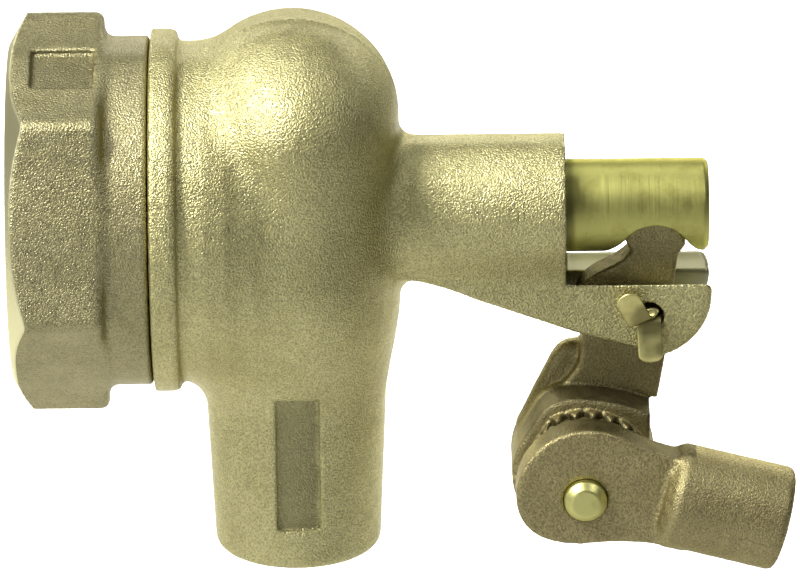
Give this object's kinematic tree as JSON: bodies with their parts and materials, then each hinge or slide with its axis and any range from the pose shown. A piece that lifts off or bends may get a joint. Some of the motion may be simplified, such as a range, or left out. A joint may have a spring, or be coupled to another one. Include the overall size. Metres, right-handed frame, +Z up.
{
  "type": "float valve",
  "caption": "Cast bronze float valve with a hexagonal threaded inlet, downward spout, sliding plunger, pivoting lever and serrated adjustable float-rod arm.",
  "frame": {"origin": "centre of the inlet's end face", "axes": "+X from the inlet along the plunger's axis, +Z up (the spout points down), the serrated joint is on the -Y side"},
  "size_m": [0.0958, 0.048, 0.0689],
  "materials": {
    "cast_body": "sand-cast bronze, shot-blasted, pale khaki gold",
    "cast_inlet": "sand-cast bronze, shot-blasted, machined end chamfer",
    "cast_lever": "sand-cast bronze, darker and browner",
    "brass": "turned brass, satin",
    "pin_brass": "drawn half-round brass wire, bright",
    "rubber": "black moulded rubber",
    "fibre": "dark compressed fibre gasket sheet"
  },
  "bodies": {
    "body": {"valve_body": "cast_body", "inlet_fitting": "cast_inlet", "body_gasket": "fibre", "seat_gasket": "fibre", "seat_ring": "brass", "split_pin": "pin_brass"},
    "plunger_group": {"plunger": "brass", "disc_holder": "brass", "seat_disc": "rubber", "disc_washer": "brass", "disc_screw": "brass", "plunger_o_ring_1": "rubber", "plunger_o_ring_2": "rubber"},
    "lever_group": {"lever": "cast_lever"},
    "arm_group": {"float_arm": "cast_lever", "clamp_screw": "brass", "lock_washer": "brass"}
  },
  "joints": [
    {"name": "lever_pivot", "type": "hinge", "parent": "body", "child": "lever_group", "pos_m": [0.0782, 0, -0.01246], "axis": [0, 1, 0], "range_deg": [-16, 11]},
    {"name": "plunger_slide", "type": "slide", "parent": "body", "child": "plunger_group", "axis": [1, 0, 0], "range_m": [-0.0022, 0.0016]},
    {"name": "arm_adjust", "type": "hinge", "parent": "lever_group", "child": "arm_group", "pos_m": [0.0701, 0, -0.033], "axis": [0, -1, 0], "range_deg": [-45, 30]}
  ],
  "couplings": [
    {"joint": "plunger_slide", "follows": "lever_pivot", "m_per_rad": 0.0076}
  ]
}
